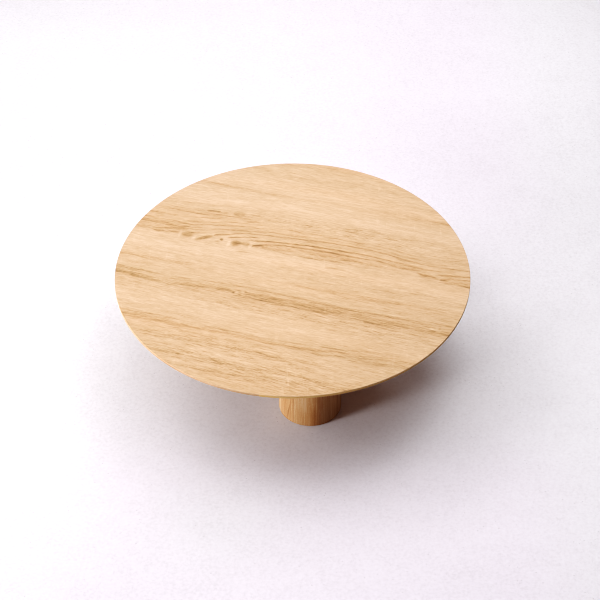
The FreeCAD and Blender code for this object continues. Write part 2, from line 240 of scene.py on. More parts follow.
# Lines of the figure, each a list of (along, across, half width, darkness) in metres from the middle, in grain
# directions. The first number is how reddish the line is, the second how broken.
STROKES = [
    # across the back
    (0.5, 0.8, [(-0.353, 0.2912, 0.0052, 0.45), (-0.289, 0.2920, 0.0052, 0.63), (-0.204, 0.2907, 0.0052, 0.54), (-0.119, 0.2879, 0.0045, 0.40), (0.006, 0.2938, 0.0052, 0.38), (0.110, 0.2950, 0.0052, 0.43), (0.213, 0.2946, 0.0078, 0.40), (0.316, 0.2914, 0.0094, 0.40), (0.376, 0.2884, 0.0094, 0.32)]),
    (1.0, 0.6, [(0.048, 0.2888, 0.0116, 0.00), (0.151, 0.2829, 0.0145, 0.26), (0.213, 0.2799, 0.0145, 0.28), (0.285, 0.2833, 0.0145, 0.17), (0.376, 0.2841, 0.0145, 0.17)]),
    (0.6, 0.6, [(-0.165, 0.4194, 0.0058, 0.13), (-0.079, 0.4314, 0.0058, 0.26), (-0.015, 0.4369, 0.0080, 0.39), (0.049, 0.4322, 0.0072, 0.35), (0.143, 0.4178, 0.0058, 0.24)]),
    # lines that come in at the left and lift over the figure
    (0.5, 0.5, [(-0.450, 0.1650, 0.0029, 0.18), (-0.380, 0.1599, 0.0029, 0.32), (-0.340, 0.1598, 0.0033, 0.43), (-0.300, 0.1587, 0.0033, 0.38), (-0.270, 0.1657, 0.0029, 0.23), (-0.220, 0.1696, 0.0031, 0.30), (-0.180, 0.1725, 0.0029, 0.19), (-0.150, 0.1745, 0.0029, 0.00)]),
    (0.6, 0.5, [(-0.460, 0.1369, 0.0044, 0.74), (-0.420, 0.1368, 0.0044, 0.74), (-0.380, 0.1387, 0.0044, 0.46), (-0.340, 0.1356, 0.0040, 0.41), (-0.300, 0.1416, 0.0031, 0.69), (-0.260, 0.1496, 0.0031, 0.55), (-0.220, 0.1565, 0.0029, 0.18), (-0.180, 0.1574, 0.0029, 0.00)]),
    (0.5, 0.3, [(-0.172, 0.1594, 0.0026, 0.00), (-0.163, 0.1619, 0.0031, 0.74), (-0.150, 0.1659, 0.0031, 0.74), (-0.138, 0.1694, 0.0029, 0.00)]),
    (0.4, 0.3, [(-0.216, 0.1821, 0.0026, 0.00), (-0.205, 0.1826, 0.0033, 0.74), (-0.192, 0.1836, 0.0033, 0.74), (-0.182, 0.1846, 0.0029, 0.00)]),
    (0.3, 0.3, [(-0.286, 0.1778, 0.0026, 0.00), (-0.272, 0.1792, 0.0033, 1.01), (-0.258, 0.1812, 0.0035, 1.20), (-0.248, 0.1827, 0.0029, 0.00)]),
    (0.5, 0.4, [(-0.335, 0.1196, 0.0029, 0.00), (-0.300, 0.1255, 0.0033, 0.74), (-0.260, 0.1325, 0.0031, 0.46), (-0.220, 0.1445, 0.0031, 0.60), (-0.180, 0.1514, 0.0029, 0.23), (-0.140, 0.1553, 0.0029, 0.00)]),
    (0.6, 0.5, [(-0.460, 0.1123, 0.0031, 0.92), (-0.420, 0.1127, 0.0031, 0.92), (-0.380, 0.1121, 0.0031, 0.51), (-0.340, 0.1115, 0.0031, 0.60), (-0.300, 0.1114, 0.0031, 0.55), (-0.260, 0.1214, 0.0029, 0.37), (-0.220, 0.1314, 0.0033, 0.69), (-0.180, 0.1373, 0.0031, 0.30), (-0.140, 0.1423, 0.0031, 0.51), (-0.100, 0.1492, 0.0029, 0.37), (-0.051, 0.1562, 0.0035, 0.48), (-0.001, 0.1591, 0.0033, 0.46), (0.049, 0.1570, 0.0031, 0.41), (0.199, 0.1587, 0.0031, 0.46), (0.249, 0.1515, 0.0029, 0.41), (0.299, 0.1454, 0.0029, 0.26), (0.349, 0.1433, 0.0031, 0.25), (0.399, 0.1512, 0.0031, 0.26), (0.459, 0.1561, 0.0031, 0.37)]),
    (0.8, 0.4, [(-0.460, 0.0977, 0.0044, 0.41), (-0.420, 0.0976, 0.0046, 0.39), (-0.380, 0.0985, 0.0053, 0.59), (-0.340, 0.0964, 0.0040, 0.46), (-0.300, 0.1014, 0.0031, 0.37), (-0.250, 0.1073, 0.0029, 0.37), (-0.220, 0.1133, 0.0031, 0.51), (-0.180, 0.1212, 0.0031, 0.60), (-0.140, 0.1272, 0.0029, 0.38), (-0.100, 0.1362, 0.0029, 0.33), (-0.051, 0.1381, 0.0029, 0.46), (-0.001, 0.1420, 0.0029, 0.55), (0.049, 0.1449, 0.0026, 0.23), (0.099, 0.1488, 0.0029, 0.46), (0.199, 0.1466, 0.0029, 0.32), (0.249, 0.1375, 0.0029, 0.32), (0.299, 0.1333, 0.0033, 0.47), (0.349, 0.1292, 0.0031, 0.37), (0.399, 0.1361, 0.0031, 0.32), (0.459, 0.1411, 0.0031, 0.46)]),
    (0.5, 0.6, [(-0.460, 0.0680, 0.0040, 0.55), (-0.420, 0.0680, 0.0044, 0.69), (-0.400, 0.0659, 0.0037, 0.64), (-0.384, 0.0636, 0.0037, 1.50), (-0.360, 0.0673, 0.0033, 0.55), (-0.340, 0.0703, 0.0033, 0.83), (-0.325, 0.0703, 0.0031, 0.46), (-0.310, 0.0692, 0.0029, 0.00)]),
    (0.7, 0.3, [(-0.400, 0.0729, 0.0033, 0.00), (-0.385, 0.0749, 0.0037, 0.46), (-0.365, 0.0794, 0.0044, 0.64), (-0.348, 0.0849, 0.0053, 0.97), (-0.330, 0.0864, 0.0055, 1.01), (-0.314, 0.0883, 0.0046, 0.78), (-0.300, 0.0923, 0.0033, 0.41), (-0.250, 0.0993, 0.0026, 0.32), (-0.220, 0.1047, 0.0026, 0.28), (-0.180, 0.1127, 0.0026, 0.00)]),
    (1.0, 0.3, [(-0.460, 0.0896, 0.0165, 0.29), (-0.400, 0.0915, 0.0165, 0.33), (-0.350, 0.0934, 0.0143, 0.28), (-0.310, 0.0974, 0.0121, 0.18), (-0.280, 0.1013, 0.0110, 0.00)]),
    # the nested arches: each starts at a blunt dark tip and thins out to the right
    (0.5, 0.3, [(-0.298, 0.0793, 0.0025, 0.00), (-0.285, 0.0828, 0.0030, 0.89), (-0.270, 0.0857, 0.0032, 0.94), (-0.255, 0.0887, 0.0030, 0.77), (-0.235, 0.0957, 0.0027, 0.47), (-0.210, 0.1027, 0.0025, 0.41), (-0.185, 0.1112, 0.0025, 0.00)]),
    (0.5, 0.2, [(-0.238, 0.0852, 0.0029, 0.00), (-0.230, 0.0882, 0.0040, 1.50), (-0.220, 0.0912, 0.0044, 1.50), (-0.208, 0.0940, 0.0038, 1.50), (-0.195, 0.0992, 0.0027, 1.13), (-0.180, 0.1077, 0.0027, 1.06), (-0.140, 0.1161, 0.0025, 0.65), (-0.100, 0.1221, 0.0027, 0.73), (-0.050, 0.1270, 0.0025, 0.61), (-0.001, 0.1309, 0.0027, 1.01), (0.049, 0.1359, 0.0027, 0.73), (0.099, 0.1368, 0.0029, 0.80), (0.149, 0.1382, 0.0032, 0.89), (0.199, 0.1356, 0.0029, 0.42), (0.249, 0.1264, 0.0029, 1.00), (0.299, 0.1213, 0.0029, 0.58), (0.349, 0.1172, 0.0029, 0.50), (0.399, 0.1231, 0.0032, 0.61), (0.459, 0.1270, 0.0030, 0.50)]),
    (0.5, 0.3, [(-0.200, 0.0851, 0.0025, 0.00), (-0.182, 0.0911, 0.0029, 1.36), (-0.160, 0.0971, 0.0025, 0.74), (-0.140, 0.1031, 0.0027, 0.65), (-0.120, 0.1081, 0.0025, 0.47), (-0.100, 0.1110, 0.0023, 0.00)]),
    (0.6, 0.2, [(-0.152, 0.0885, 0.0023, 0.00), (-0.140, 0.0900, 0.0025, 0.71), (-0.120, 0.0935, 0.0029, 1.30), (-0.100, 0.0970, 0.0032, 1.50), (-0.075, 0.1009, 0.0032, 1.30), (-0.050, 0.1039, 0.0032, 1.18), (-0.001, 0.1098, 0.0032, 1.42), (0.049, 0.1127, 0.0034, 1.30), (0.099, 0.1136, 0.0034, 1.11), (0.149, 0.1145, 0.0034, 1.01), (0.199, 0.1124, 0.0032, 1.12), (0.249, 0.1083, 0.0034, 0.71), (0.299, 0.1042, 0.0042, 0.47), (0.334, 0.1016, 0.0030, 0.71), (0.359, 0.1041, 0.0029, 0.83), (0.399, 0.1120, 0.0025, 0.00)]),
    (0.6, 0.2, [(-0.130, 0.0689, 0.0019, 0.00), (-0.125, 0.0714, 0.0030, 1.38), (-0.115, 0.0754, 0.0034, 1.44), (-0.100, 0.0827, 0.0032, 1.04), (-0.076, 0.0889, 0.0029, 1.00), (-0.050, 0.0933, 0.0032, 1.00), (-0.000, 0.0973, 0.0034, 1.06), (0.049, 0.0992, 0.0042, 1.30), (0.099, 0.1001, 0.0042, 1.42), (0.149, 0.0990, 0.0038, 1.00), (0.199, 0.0999, 0.0034, 0.61), (0.249, 0.0932, 0.0044, 0.71), (0.299, 0.0886, 0.0042, 0.41), (0.317, 0.0795, 0.0046, 1.06), (0.342, 0.0794, 0.0049, 1.12), (0.356, 0.0757, 0.0034, 0.71), (0.365, 0.0744, 0.0019, 0.00)]),
    (0.6, 0.3, [(0.344, 0.0870, 0.0023, 0.00), (0.359, 0.0890, 0.0025, 0.59), (0.379, 0.0925, 0.0029, 1.06), (0.399, 0.0970, 0.0032, 1.16), (0.429, 0.1019, 0.0032, 1.12), (0.459, 0.1069, 0.0032, 1.12)]),
    (0.6, 0.2, [(0.364, 0.0732, 0.0009, 0.00), (0.370, 0.0742, 0.0034, 1.24), (0.381, 0.0782, 0.0047, 1.24), (0.396, 0.0832, 0.0038, 1.06), (0.416, 0.0861, 0.0034, 0.89), (0.455, 0.0929, 0.0034, 0.94)]),
    (0.4, 0.5, [(-0.125, 0.0674, 0.0021, 0.00), (-0.100, 0.0658, 0.0025, 0.35), (-0.050, 0.0647, 0.0027, 0.71), (-0.000, 0.0636, 0.0032, 0.77), (0.049, 0.0655, 0.0038, 0.59), (0.088, 0.0700, 0.0029, 0.89), (0.119, 0.0684, 0.0027, 0.71), (0.159, 0.0688, 0.0025, 0.35), (0.199, 0.0682, 0.0025, 0.35), (0.249, 0.0611, 0.0032, 0.41), (0.299, 0.0590, 0.0029, 0.18), (0.349, 0.0639, 0.0027, 0.47), (0.399, 0.0648, 0.0029, 0.71), (0.459, 0.0647, 0.0038, 1.30)]),
    (0.5, 0.5, [(0.119, 0.0875, 0.0029, 0.00), (0.149, 0.0834, 0.0029, 0.53), (0.199, 0.0793, 0.0029, 0.65), (0.249, 0.0792, 0.0032, 0.41), (0.289, 0.0811, 0.0029, 0.00)]),
    (1.0, 0.5, [(-0.130, 0.0734, 0.0038, 0.00), (-0.094, 0.0767, 0.0071, 0.50), (-0.043, 0.0796, 0.0081, 0.47), (0.008, 0.0835, 0.0085, 0.28), (0.047, 0.0853, 0.0095, 0.38), (0.108, 0.0859, 0.0104, 0.57), (0.168, 0.0866, 0.0104, 0.50), (0.208, 0.0874, 0.0104, 0.35), (0.258, 0.0952, 0.0114, 0.38), (0.308, 0.0949, 0.0114, 0.26), (0.347, 0.0774, 0.0076, 0.14), (0.386, 0.0731, 0.0066, 0.38), (0.455, 0.0768, 0.0104, 0.54)]),
    # soft bands left and right of the middle
    (0.6, 0.7, [(-0.448, -0.0419, 0.0069, 0.22), (-0.386, -0.0440, 0.0086, 0.32), (-0.325, -0.0440, 0.0086, 0.30), (-0.264, -0.0451, 0.0075, 0.28), (-0.213, -0.0501, 0.0046, 0.32), (-0.172, -0.0511, 0.0034, 0.10), (-0.042, -0.0481, 0.0046, 0.05), (0.038, -0.0472, 0.0069, 0.35), (0.088, -0.0443, 0.0080, 0.45), (0.147, -0.0443, 0.0115, 0.47), (0.205, -0.0454, 0.0138, 0.49), (0.273, -0.0434, 0.0126, 0.39), (0.322, -0.0444, 0.0138, 0.31), (0.380, -0.0465, 0.0149, 0.30), (0.447, -0.0504, 0.0149, 0.24)]),
    (0.2, 0.7, [(-0.072, -0.0020, 0.0115, 0.00), (0.028, -0.0003, 0.0149, 0.22), (0.127, -0.0025, 0.0172, 0.31), (0.255, -0.0028, 0.0172, 0.31), (0.450, -0.0072, 0.0184, 0.28)]),
    (0.4, 0.4, [(-0.168, 0.0393, 0.0030, 0.00), (-0.150, 0.0400, 0.0032, 0.70), (-0.128, 0.0407, 0.0030, 0.00)]),
    (0.5, 0.3, [(0.072, 0.0408, 0.0030, 0.00), (0.089, 0.0413, 0.0034, 0.95), (0.114, 0.0418, 0.0034, 0.75), (0.131, 0.0422, 0.0030, 0.00)]),
    # the long dark pair across the middle
    (0.2, 0.5, [(-0.444, -0.0958, 0.0042, 0.83), (-0.392, -0.0967, 0.0048, 0.87), (-0.363, -0.0966, 0.0042, 0.71), (-0.322, -0.0982, 0.0034, 0.39), (-0.272, -0.0980, 0.0028, 0.34), (-0.221, -0.0940, 0.0028, 0.35), (-0.161, -0.0894, 0.0028, 0.45), (-0.101, -0.0891, 0.0028, 0.39), (-0.041, -0.0909, 0.0031, 0.51), (0.008, -0.0926, 0.0039, 0.49), (0.058, -0.0943, 0.0045, 0.56), (0.107, -0.0974, 0.0056, 0.73), (0.156, -0.0983, 0.0056, 0.76), (0.223, -0.0992, 0.0050, 0.57), (0.281, -0.0972, 0.0045, 0.45), (0.329, -0.0938, 0.0042, 0.34), (0.378, -0.0902, 0.0042, 0.42), (0.445, -0.0893, 0.0042, 0.42)]),
    (0.3, 0.6, [(-0.442, -0.1182, 0.0063, 0.71), (-0.401, -0.1181, 0.0077, 0.71), (-0.360, -0.1225, 0.0087, 0.64), (-0.321, -0.1242, 0.0070, 0.60), (-0.291, -0.1222, 0.0050, 0.36), (-0.250, -0.1222, 0.0045, 0.43), (-0.210, -0.1181, 0.0045, 0.54), (-0.175, -0.1112, 0.0048, 0.43), (-0.146, -0.1111, 0.0070, 0.42), (-0.120, -0.1145, 0.0070, 0.34), (-0.091, -0.1184, 0.0098, 0.59), (-0.061, -0.1182, 0.0109, 0.66), (-0.021, -0.1196, 0.0109, 0.75), (0.028, -0.1195, 0.0112, 0.60), (0.106, -0.1193, 0.0119, 0.58), (0.175, -0.1211, 0.0119, 0.62), (0.241, -0.1219, 0.0119, 0.64), (0.299, -0.1208, 0.0101, 0.59), (0.357, -0.1187, 0.0091, 0.47), (0.395, -0.1182, 0.0098, 0.40), (0.443, -0.1181, 0.0098, 0.48)]),
    (0.1, 0.3, [(-0.300, -0.1296, 0.0021, 0.00), (-0.260, -0.1315, 0.0028, 0.46), (-0.230, -0.1339, 0.0031, 0.67), (-0.200, -0.1352, 0.0025, 0.25), (-0.170, -0.1332, 0.0021, 0.00), (-0.090, -0.1252, 0.0028, 0.29), (-0.041, -0.1255, 0.0036, 0.60), (0.028, -0.1263, 0.0036, 0.65), (0.106, -0.1271, 0.0036, 0.65), (0.184, -0.1278, 0.0034, 0.59), (0.213, -0.1283, 0.0028, 0.17), (0.225, -0.1311, 0.0048, 0.87), (0.251, -0.1312, 0.0053, 0.92), (0.280, -0.1295, 0.0042, 0.68), (0.318, -0.1261, 0.0034, 0.42), (0.357, -0.1244, 0.0028, 0.25), (0.395, -0.1239, 0.0034, 0.44), (0.443, -0.1238, 0.0034, 0.50)]),
    (0.6, 0.6, [(-0.443, -0.1092, 0.0112, 0.29), (-0.342, -0.1120, 0.0119, 0.27), (-0.241, -0.1108, 0.0140, 0.22), (-0.141, -0.1057, 0.0154, 0.22), (-0.041, -0.1065, 0.0154, 0.29), (0.107, -0.1082, 0.0154, 0.35), (0.251, -0.1108, 0.0168, 0.35), (0.444, -0.1065, 0.0195, 0.34)]),
    # the third, nearer the front
    (0.3, 0.5, [(-0.364, -0.2477, 0.0027, 0.57), (-0.324, -0.2498, 0.0034, 0.68), (-0.284, -0.2480, 0.0034, 0.74), (-0.235, -0.2495, 0.0030, 0.68), (-0.185, -0.2501, 0.0027, 0.51), (-0.137, -0.2521, 0.0027, 0.68), (-0.088, -0.2526, 0.0034, 0.81), (-0.040, -0.2530, 0.0030, 0.71), (0.009, -0.2552, 0.0030, 0.68), (0.057, -0.2532, 0.0030, 0.68), (0.105, -0.2509, 0.0032, 0.71), (0.153, -0.2479, 0.0035, 0.79), (0.201, -0.2434, 0.0041, 0.66), (0.258, -0.2365, 0.0046, 0.45), (0.314, -0.2310, 0.0046, 0.29), (0.371, -0.2268, 0.0046, 0.23)]),
    (0.9, 0.5, [(-0.383, -0.2550, 0.0081, 0.38), (-0.353, -0.2603, 0.0108, 0.39), (-0.303, -0.2623, 0.0108, 0.49), (-0.254, -0.2638, 0.0095, 0.56), (-0.204, -0.2662, 0.0084, 0.51), (-0.155, -0.2654, 0.0081, 0.79), (-0.088, -0.2662, 0.0078, 0.72), (-0.030, -0.2670, 0.0068, 0.79), (0.018, -0.2676, 0.0059, 0.90), (0.066, -0.2663, 0.0054, 0.79), (0.114, -0.2641, 0.0057, 0.93), (0.153, -0.2603, 0.0054, 0.86), (0.191, -0.2551, 0.0057, 0.81), (0.229, -0.2497, 0.0054, 0.49), (0.277, -0.2442, 0.0051, 0.46), (0.332, -0.2391, 0.0049, 0.38)]),
    (0.3, 0.4, [(-0.030, -0.2723, 0.0020, 0.00), (-0.011, -0.2726, 0.0020, 0.18), (0.057, -0.2729, 0.0022, 0.46), (0.114, -0.2738, 0.0027, 0.55), (0.143, -0.2748, 0.0035, 0.87), (0.162, -0.2743, 0.0035, 0.97), (0.176, -0.2709, 0.0038, 0.55), (0.210, -0.2651, 0.0057, 0.61), (0.238, -0.2612, 0.0057, 0.70), (0.267, -0.2578, 0.0049, 0.61), (0.305, -0.2523, 0.0046, 0.49), (0.360, -0.2463, 0.0046, 0.36)]),
    (0.4, 0.4, [(0.214, -0.2752, 0.0020, 0.00), (0.233, -0.2742, 0.0035, 0.46), (0.257, -0.2726, 0.0057, 0.54), (0.285, -0.2700, 0.0095, 0.60), (0.313, -0.2666, 0.0088, 0.60), (0.341, -0.2649, 0.0070, 0.51), (0.388, -0.2636, 0.0070, 0.55)]),
    (0.3, 0.8, [(-0.281, -0.3097, 0.0081, 0.20), (-0.183, -0.3105, 0.0081, 0.30), (-0.068, -0.3111, 0.0081, 0.32), (0.009, -0.3113, 0.0068, 0.36), (0.085, -0.3142, 0.0068, 0.36), (0.199, -0.3084, 0.0068, 0.15), (0.312, -0.3009, 0.0068, 0.10)]),
    (0.2, 0.9, [(-0.230, -0.3654, 0.0068, 0.29), (-0.153, -0.3672, 0.0081, 0.34), (-0.066, -0.3697, 0.0081, 0.39), (0.009, -0.3697, 0.0081, 0.39), (0.066, -0.3645, 0.0068, 0.34), (0.113, -0.3603, 0.0054, 0.42), (0.160, -0.3724, 0.0068, 0.25), (0.234, -0.3803, 0.0081, 0.38)]),
    (0.1, 0.6, [(-0.181, -0.4057, 0.0081, 0.20), (-0.104, -0.4028, 0.0081, 0.30), (0.009, -0.3977, 0.0068, 0.30), (0.084, -0.3895, 0.0068, 0.10), (0.197, -0.3835, 0.0068, 0.00)]),
]


def oak_top(name="oak_face_veneer"):
    g = Net(name)
    x, y, z = g.coords()
    c, s = math.cos(GRAIN), math.sin(GRAIN)
    u = g.add(g.mul(x, c), g.mul(y, s))
    v = g.add(g.mul(x, -s), g.mul(y, c))

    # gentle wander of the grain
    w1 = g.sub(g.noise(g.vec(g.mul(u, 1.6), g.mul(v, 3.5), 0.37), 1.0, 1.0), 0.5)
    w2 = g.sub(g.noise(g.vec(g.mul(u, 12.0), g.mul(v, 18.0), 1.9), 1.0, 2.0, 0.6), 0.5)
    w3 = g.sub(g.noise(g.vec(g.mul(u, 45.0), g.mul(v, 60.0), 4.9), 1.0, 1.0), 0.5)
    va = g.add(v, g.mad(w2, 0.0050, g.mul(w3, 0.0012)))
    # the grain lifts over the figure on its way in from the left, and sinks again on the right
    lift = g.curve(u, [(-0.460, 0.0), (-0.332, 0.004), (-0.217, 0.028), (-0.094, 0.046), (0.028, 0.050), (0.139, 0.050), (0.209, 0.044), (0.279, 0.030), (0.348, 0.028), (0.407, 0.036), (0.460, 0.042)], -0.46, 0.46, -0.02, 0.08)
    over = g.mul(g.step(v, 0.055, 0.13), g.step(v, 0.38, 0.17))
    vw = g.add(g.add(v, g.mul(w1, 0.022)), g.sub(g.mul(w2, 0.005), g.mul(g.mul(lift, over), 0.6)))

    # broad and fine grain
    t1 = g.noise(g.vec(g.mul(u, 1.1), g.mul(vw, 17.0), 3.1), 1.0, 2.0, 0.55)
    t2 = g.noise(g.vec(g.mul(u, 5.0), g.mul(vw, 75.0), 7.7), 1.0, 3.0, 0.6)
    t3 = g.noise(g.vec(g.mul(u, 26.0), g.mul(vw, 205.0), 11.3), 1.0, 3.0, 0.72)
    t4 = g.noise(g.vec(g.mul(u, 48.0), g.mul(vw, 620.0), 17.9), 1.0, 2.0, 0.7)

    # every line of the figure
    breaks = g.add(g.mul(g.sub(t2, 0.5), 2.0), g.mul(g.sub(t3, 0.5), 3.6))
    dark, warm = 0.0, 0.0

    def lines(part):
        def build(n, ins):
            iu, iv, ib = ins
            total, reds = [], []
            for red, broken, pts in part:
                lo, hi = pts[0][0], pts[-1][0]
                t = n.m("DIVIDE", n.sub(iu, lo), hi - lo, clamp=True)
                centre = n.curve(t, [((q[0] - lo) / (hi - lo), q[1]) for q in pts], 0.0, 1.0, -0.46, 0.46)
                width = n.curve(t, [((q[0] - lo) / (hi - lo), q[2]) for q in pts], 0.0, 1.0, 0.0, 0.02)
                amount = n.curve(t, [((q[0] - lo) / (hi - lo), q[3]) for q in pts], 0.0, 1.0, 0.0, 1.5)
                line = n.mul(n.gauss(n.sub(iv, centre), n.m("MAXIMUM", width, 0.0008)), amount)
                line = n.mul(line, n.m("MAXIMUM", n.mad(ib, broken * 0.55, 1.0), 0.1))
                total.append(line)
                reds.append(n.mul(line, red if red >= 0.5 else 0.0))
            return n.total(total), n.total(reds)
        return build

    for i in range(0, len(STROKES), 5):
        da, wa = g.group("figure_lines_%d" % (i // 5), [u, va, breaks], lines(STROKES[i:i + 5]), 2)
        dark = g.add(da, dark)
        warm = g.add(wa, warm)

    def spots(name, table):
        def build(n, ins):
            out = []
            for cu, cv, ru, rv, amount in table:
                a, b = n.div(n.sub(ins[0], cu), ru), n.div(n.sub(ins[1], cv), rv)
                q = n.mad(a, a, n.mul(b, b))
                out.append(n.mul(n.m("EXPONENT", n.mul(q, -1.0)), amount))
            return [n.total(out)]
        return g.group(name, [u, v], build, 1)[0]

    # blunt dark tips of the arches, and a dark dot beside them
    def blots(name, table):
        def build(n, ins):
            out = []
            for cu, cv, ru, rv, slope, amount in table:
                a = n.div(n.sub(ins[0], cu), ru)
                b = n.div(n.sub(n.sub(ins[1], cv), n.mul(n.sub(ins[0], cu), slope)), rv)
                q = n.mad(a, a, n.mul(b, b))
                out.append(n.mul(n.m("EXPONENT", n.mul(n.mul(q, q), -1.0)), amount))
            return [n.total(out)]
        return g.group(name, [g.add(u, g.mul(w3, 0.0020)), va], build, 1)[0]

    tips = blots("arch_tips", [
        (-0.303, 0.0692, 0.0160, 0.0120, 0.30, 1.05),
        (-0.257, 0.0691, 0.0200, 0.0086, 0.62, 1.35),
        (-0.172, 0.0690, 0.0130, 0.0125, 0.05, 1.60),
        (-0.146, 0.0725, 0.0150, 0.0100, 0.00, 0.95),
        (-0.212, 0.0736, 0.0050, 0.0050, 0.00, 1.60),
        (-0.221, 0.0646, 0.0070, 0.0045, 0.00, 0.60),
        (-0.323, 0.0680, 0.0040, 0.0140, 0.00, -0.55), (-0.284, 0.0610, 0.0060, 0.0080, 0.50, -0.60),
        (-0.190, 0.0650, 0.0045, 0.0140, 0.00, -0.65), (-0.134, 0.0680, 0.0040, 0.0110, 0.00, -0.60),
    ])
    # pale eyes with dark rims in the middle line, and paler wood round the tips
    knots = spots("small_knots", [
        (-0.200, 0.0850, 0.1000, 0.0300, -0.30), (-0.205, 0.0900, 0.0100, 0.0300, -0.15),
        (0.150, -0.4050, 0.1400, 0.0350, 0.16), (-0.150, -0.4150, 0.1000, 0.0300, -0.20), (0.230, 0.0200, 0.0800, 0.0150, -0.16), (-0.240, 0.0500, 0.0800, 0.0220, 0.16),
        (-0.113, -0.1134, 0.0060, 0.0035, -0.9), (-0.098, -0.1095, 0.0050, 0.0032, -0.7), (-0.097, -0.1173, 0.0050, 0.0020, -0.6),
        (-0.121, -0.1154, 0.0035, 0.0040, 0.7), (-0.104, -0.1197, 0.0050, 0.0022, 0.9), (-0.092, -0.1055, 0.0040, 0.0030, 0.7), (-0.110, -0.1051, 0.0060, 0.0022, 0.5),
        (0.389, -0.1104, 0.0060, 0.0035, -0.9), (0.400, -0.1075, 0.0050, 0.0030, -0.6), (0.395, -0.1180, 0.0060, 0.0022, 0.7), (0.407, -0.1037, 0.0040, 0.0030, 0.6),
    ])

    # open-pored zones with short broken dashes
    zone_back = spots("pores_back", [
        (-0.013, 0.1891, 0.16, 0.024, 1.0), (0.181, 0.1907, 0.14, 0.030, 0.85), (-0.241, 0.1739, 0.10, 0.014, 0.6),
        (0.372, 0.1735, 0.10, 0.034, 0.75), (0.060, 0.3756, 0.22, 0.030, 0.30), (-0.255, 0.2753, 0.12, 0.014, 0.45), (-0.097, 0.2735, 0.12, 0.012, 0.45),
    ])
    zone_front = spots("pores_front", [
        (-0.136, -0.3073, 0.20, 0.024, 0.75), (-0.106, -0.3636, 0.18, 0.026, 1.1), (0.066, -0.3594, 0.16, 0.036, 0.9), (0.197, -0.3799, 0.10, 0.024, 0.9),
        (0.152, -0.3039, 0.14, 0.024, 0.6), (0.009, -0.4140, 0.20, 0.020, 0.5),
    ])
    zone_mid = spots("pores_middle", [
        (-0.090, -0.1656, 0.14, 0.026, 0.65), (0.145, -0.1520, 0.16, 0.024, 0.75), (0.327, -0.1700, 0.12, 0.030, 0.70),
        (0.108, 0.0215, 0.20, 0.012, 0.25), (0.305, 0.0014, 0.14, 0.020, 0.30),
    ])
    nb = g.noise(g.vec(g.mul(u, 42.0), g.mul(g.sub(v, g.mul(u, 0.10)), 230.0), 5.5), 1.0, 2.0, 0.7)
    nf = g.noise(g.vec(g.mul(u, 42.0), g.mul(g.add(v, g.mul(u, 0.16)), 230.0), 8.5), 1.0, 2.0, 0.7)
    nm = g.noise(g.vec(g.mul(u, 34.0), g.mul(g.add(vw, g.mul(u, 0.06)), 230.0), 6.5), 1.0, 2.0, 0.7)
    dashes = g.total([
        g.mul(g.step(nb, 0.46, 0.62), g.add(g.m("MINIMUM", zone_back, 1.2), 0.05)),
        g.mul(g.step(nf, 0.50, 0.66), g.mul(g.clamp(zone_front), 0.85)),
        g.mul(g.step(nm, 0.50, 0.66), g.add(g.clamp(zone_mid), 0.08)),
    ])
    zones = g.clamp(g.total([zone_back, zone_front, zone_mid]))
    pore = g.noise(g.vec(g.mul(u, 130.0), g.mul(vw, 2100.0), 9.1), 1.0, 1.0, 0.5)
    pores = g.step(pore, 0.60, 0.70)
    glints = g.step(g.noise(g.vec(g.mul(u, 34.0), g.mul(vw, 560.0), 31.0), 1.0, 1.0, 0.6), 0.56, 0.70)

    # pale flecks that cross the grain
    ray = g.noise(g.vec(g.mul(g.add(u, g.mul(v, 0.22)), 130.0), g.mul(v, 22.0), 2.2), 1.0, 1.0, 0.5)
    where = g.noise(g.vec(g.mul(u, 9.0), g.mul(v, 14.0), 12.2), 1.0, 1.0, 0.5)
    flecks = g.mul(g.step(ray, 0.58, 0.72), g.add(g.step(where, 0.50, 0.68, 0.06, 0.55), g.clamp(spots("ray_fleck_places", [(0.112, -0.3990, 0.022, 0.034, 1.6), (0.028, -0.4048, 0.03, 0.03, 0.7), (0.275, 0.2639, 0.05, 0.02, 0.8)]))))

    # broad tone: paler at the back left and the middle, darker to the right and to the front. This broad tone is
    # partly painted light and shade, partly the wood's own banding.
    across = g.curve(v, [(-0.45, 0.34), (-0.38, 0.50), (-0.335, 0.41), (-0.27, 0.45), (-0.21, 0.35), (-0.14, 0.45), (-0.02, 0.36), (0.03, 0.29), (0.08, 0.39), (0.18, 0.40), (0.24, 0.26), (0.33, 0.29), (0.40, 0.37), (0.45, 0.36)], -0.45, 0.45, 0.0, 1.0)
    side = g.curve(u, [(-0.45, 0.03), (-0.25, 0.02), (0.0, -0.015), (0.15, -0.01), (0.30, -0.01), (0.45, -0.02)], -0.45, 0.45, -0.2, 0.2)
    grain = g.total([
        g.mul(g.sub(t1, 0.5), 0.22),
        g.mul(g.sub(t2, 0.5), 0.42),
        g.mul(g.sub(t3, 0.5), g.mad(zones, 0.40, 0.90)),
        g.mul(g.sub(t4, 0.5), 0.72),
    ])
    d = g.total([across, side, -0.075, grain, g.mul(dark, 0.37), g.mul(tips, 0.37), g.mul(knots, 0.42), g.mul(dashes, 0.25), g.mul(pores, 0.06), g.mul(glints, -0.13), g.mul(flecks, -0.15)])
    d = g.clamp(d)
    col = g.ramp(d, [
        (0.00, lin(248, 215, 182, TOP_K)),
        (0.20, lin(239, 203, 165, TOP_K)),
        (0.38, lin(230, 192, 150, TOP_K)),
        (0.55, lin(220, 178, 131, TOP_K)),
        (0.70, lin(206, 161, 108, TOP_K)),
        (0.85, lin(188, 140, 82, TOP_K)),
        (1.00, lin(160, 112, 58, TOP_K)),
    ])
